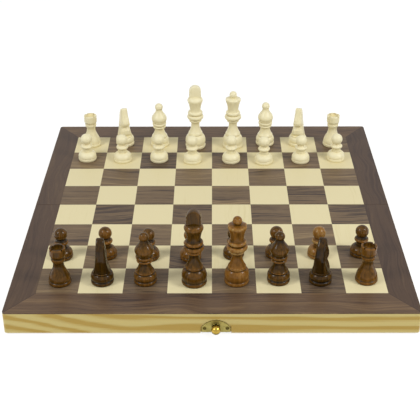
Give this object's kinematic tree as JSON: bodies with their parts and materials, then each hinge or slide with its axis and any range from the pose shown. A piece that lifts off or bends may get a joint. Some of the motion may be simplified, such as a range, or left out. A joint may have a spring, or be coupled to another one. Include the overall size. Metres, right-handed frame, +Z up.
{
  "type": "chess_box",
  "caption": "Folding wooden chess box: two shallow trays hinged along one edge open flat as a board with turned chessmen, or close on them with a brass hasp.",
  "frame": {"origin": "bottom centre of the bounding box: under the middle of the open board and its clasp, at the lowest point, the hinge barrels", "axes": "+X to the right along the fold line, +Y from the box half at the front to the lid half at the back, +Z up out of the playing surface"},
  "size_m": [0.365, 0.4048, 0.0977],
  "materials": {
    "pine": "clear satin varnish",
    "plywood": "sanded",
    "walnut_veneer": "satin varnish",
    "maple_veneer": "satin varnish",
    "felt": "pressed felt",
    "brass_fittings": "polished and lacquered",
    "stained_wood": "dark stain under gloss lacquer",
    "boxwood": "clear gloss lacquer"
  },
  "bodies": {
    "box": {"box_front_rail": "pine", "box_hinge_rail": "pine", "box_end_rails": "pine", "box_panel": "plywood", "box_border": "walnut_veneer", "box_dark_squares": "walnut_veneer", "box_light_squares": "maple_veneer", "box_felt": "felt", "box_hinge_leaves": "brass_fittings", "box_hinge_screws": "brass_fittings", "catch_plate": "brass_fittings", "catch_knob": "brass_fittings", "catch_screws": "brass_fittings", "hinge_pins": "brass_fittings"},
    "lid": {"lid_back_rail": "pine", "lid_hinge_rail": "pine", "lid_end_rails": "pine", "lid_panel": "plywood", "lid_border": "walnut_veneer", "lid_dark_squares": "walnut_veneer", "lid_light_squares": "maple_veneer", "lid_felt": "felt", "lid_hinge_leaves": "brass_fittings", "lid_hinge_screws": "brass_fittings", "hasp_plate": "brass_fittings", "hasp_screws": "brass_fittings", "hasp_pin": "brass_fittings"},
    "hasp": {"hasp_tongue": "brass_fittings"},
    "m_dark_rook_h8": {"dark_rook_h8": "stained_wood"},
    "m_dark_knight_g8": {"dark_knight_g8": "stained_wood"},
    "m_dark_bishop_f8": {"dark_bishop_f8": "stained_wood"},
    "m_dark_king_e8": {"dark_king_e8": "stained_wood"},
    "m_dark_queen_d8": {"dark_queen_d8": "stained_wood"},
    "m_dark_bishop_c8": {"dark_bishop_c8": "stained_wood"},
    "m_dark_knight_b8": {"dark_knight_b8": "stained_wood"},
    "m_dark_rook_a8": {"dark_rook_a8": "stained_wood"},
    "m_dark_pawn_h7": {"dark_pawn_h7": "stained_wood"},
    "m_dark_pawn_g7": {"dark_pawn_g7": "stained_wood"},
    "m_dark_pawn_f7": {"dark_pawn_f7": "stained_wood"},
    "m_dark_pawn_e7": {"dark_pawn_e7": "stained_wood"},
    "m_dark_pawn_d7": {"dark_pawn_d7": "stained_wood"},
    "m_dark_pawn_c7": {"dark_pawn_c7": "stained_wood"},
    "m_dark_pawn_b7": {"dark_pawn_b7": "stained_wood"},
    "m_dark_pawn_a7": {"dark_pawn_a7": "stained_wood"},
    "m_light_pawn_h2": {"light_pawn_h2": "boxwood"},
    "m_light_pawn_g2": {"light_pawn_g2": "boxwood"},
    "m_light_pawn_f2": {"light_pawn_f2": "boxwood"},
    "m_light_pawn_e2": {"light_pawn_e2": "boxwood"},
    "m_light_pawn_d2": {"light_pawn_d2": "boxwood"},
    "m_light_pawn_c2": {"light_pawn_c2": "boxwood"},
    "m_light_pawn_b2": {"light_pawn_b2": "boxwood"},
    "m_light_pawn_a2": {"light_pawn_a2": "boxwood"},
    "m_light_rook_h1": {"light_rook_h1": "boxwood"},
    "m_light_knight_g1": {"light_knight_g1": "boxwood"},
    "m_light_bishop_f1": {"light_bishop_f1": "boxwood"},
    "m_light_king_e1": {"light_king_e1": "boxwood"},
    "m_light_queen_d1": {"light_queen_d1": "boxwood"},
    "m_light_bishop_c1": {"light_bishop_c1": "boxwood"},
    "m_light_knight_b1": {"light_knight_b1": "boxwood"},
    "m_light_rook_a1": {"light_rook_a1": "boxwood"}
  },
  "joints": [
    {"name": "box_fold", "type": "hinge", "parent": "box", "child": "lid", "pos_m": [0, -0.004, 0.0015], "axis": [-1, 0, 0], "range_deg": [0, 180]},
    {"name": "hasp_turn", "type": "hinge", "parent": "lid", "child": "hasp", "pos_m": [0.0035, 0.1867, 0.003], "axis": [-1, 0, 0], "range_deg": [-80, 90]},
    {"name": "lift_dark_rook_h8", "type": "slide", "parent": "box", "child": "m_dark_rook_h8", "axis": [0, 0, 1], "range_m": [0, 0.06]},
    {"name": "lift_dark_knight_g8", "type": "slide", "parent": "box", "child": "m_dark_knight_g8", "axis": [0, 0, 1], "range_m": [0, 0.06]},
    {"name": "lift_dark_bishop_f8", "type": "slide", "parent": "box", "child": "m_dark_bishop_f8", "axis": [0, 0, 1], "range_m": [0, 0.06]},
    {"name": "lift_dark_king_e8", "type": "slide", "parent": "box", "child": "m_dark_king_e8", "axis": [0, 0, 1], "range_m": [0, 0.06]},
    {"name": "lift_dark_queen_d8", "type": "slide", "parent": "box", "child": "m_dark_queen_d8", "axis": [0, 0, 1], "range_m": [0, 0.06]},
    {"name": "lift_dark_bishop_c8", "type": "slide", "parent": "box", "child": "m_dark_bishop_c8", "axis": [0, 0, 1], "range_m": [0, 0.06]},
    {"name": "lift_dark_knight_b8", "type": "slide", "parent": "box", "child": "m_dark_knight_b8", "axis": [0, 0, 1], "range_m": [0, 0.06]},
    {"name": "lift_dark_rook_a8", "type": "slide", "parent": "box", "child": "m_dark_rook_a8", "axis": [0, 0, 1], "range_m": [0, 0.06]},
    {"name": "lift_dark_pawn_h7", "type": "slide", "parent": "box", "child": "m_dark_pawn_h7", "axis": [0, 0, 1], "range_m": [0, 0.06]},
    {"name": "lift_dark_pawn_g7", "type": "slide", "parent": "box", "child": "m_dark_pawn_g7", "axis": [0, 0, 1], "range_m": [0, 0.06]},
    {"name": "lift_dark_pawn_f7", "type": "slide", "parent": "box", "child": "m_dark_pawn_f7", "axis": [0, 0, 1], "range_m": [0, 0.06]},
    {"name": "lift_dark_pawn_e7", "type": "slide", "parent": "box", "child": "m_dark_pawn_e7", "axis": [0, 0, 1], "range_m": [0, 0.06]},
    {"name": "lift_dark_pawn_d7", "type": "slide", "parent": "box", "child": "m_dark_pawn_d7", "axis": [0, 0, 1], "range_m": [0, 0.06]},
    {"name": "lift_dark_pawn_c7", "type": "slide", "parent": "box", "child": "m_dark_pawn_c7", "axis": [0, 0, 1], "range_m": [0, 0.06]},
    {"name": "lift_dark_pawn_b7", "type": "slide", "parent": "box", "child": "m_dark_pawn_b7", "axis": [0, 0, 1], "range_m": [0, 0.06]},
    {"name": "lift_dark_pawn_a7", "type": "slide", "parent": "box", "child": "m_dark_pawn_a7", "axis": [0, 0, 1], "range_m": [0, 0.06]},
    {"name": "lift_light_pawn_h2", "type": "slide", "parent": "lid", "child": "m_light_pawn_h2", "axis": [0, 0, 1], "range_m": [0, 0.06]},
    {"name": "lift_light_pawn_g2", "type": "slide", "parent": "lid", "child": "m_light_pawn_g2", "axis": [0, 0, 1], "range_m": [0, 0.06]},
    {"name": "lift_light_pawn_f2", "type": "slide", "parent": "lid", "child": "m_light_pawn_f2", "axis": [0, 0, 1], "range_m": [0, 0.06]},
    {"name": "lift_light_pawn_e2", "type": "slide", "parent": "lid", "child": "m_light_pawn_e2", "axis": [0, 0, 1], "range_m": [0, 0.06]},
    {"name": "lift_light_pawn_d2", "type": "slide", "parent": "lid", "child": "m_light_pawn_d2", "axis": [0, 0, 1], "range_m": [0, 0.06]},
    {"name": "lift_light_pawn_c2", "type": "slide", "parent": "lid", "child": "m_light_pawn_c2", "axis": [0, 0, 1], "range_m": [0, 0.06]},
    {"name": "lift_light_pawn_b2", "type": "slide", "parent": "lid", "child": "m_light_pawn_b2", "axis": [0, 0, 1], "range_m": [0, 0.06]},
    {"name": "lift_light_pawn_a2", "type": "slide", "parent": "lid", "child": "m_light_pawn_a2", "axis": [0, 0, 1], "range_m": [0, 0.06]},
    {"name": "lift_light_rook_h1", "type": "slide", "parent": "lid", "child": "m_light_rook_h1", "axis": [0, 0, 1], "range_m": [0, 0.06]},
    {"name": "lift_light_knight_g1", "type": "slide", "parent": "lid", "child": "m_light_knight_g1", "axis": [0, 0, 1], "range_m": [0, 0.06]},
    {"name": "lift_light_bishop_f1", "type": "slide", "parent": "lid", "child": "m_light_bishop_f1", "axis": [0, 0, 1], "range_m": [0, 0.06]},
    {"name": "lift_light_king_e1", "type": "slide", "parent": "lid", "child": "m_light_king_e1", "axis": [0, 0, 1], "range_m": [0, 0.06]},
    {"name": "lift_light_queen_d1", "type": "slide", "parent": "lid", "child": "m_light_queen_d1", "axis": [0, 0, 1], "range_m": [0, 0.06]},
    {"name": "lift_light_bishop_c1", "type": "slide", "parent": "lid", "child": "m_light_bishop_c1", "axis": [0, 0, 1], "range_m": [0, 0.06]},
    {"name": "lift_light_knight_b1", "type": "slide", "parent": "lid", "child": "m_light_knight_b1", "axis": [0, 0, 1], "range_m": [0, 0.06]},
    {"name": "lift_light_rook_a1", "type": "slide", "parent": "lid", "child": "m_light_rook_a1", "axis": [0, 0, 1], "range_m": [0, 0.06]}
  ]
}
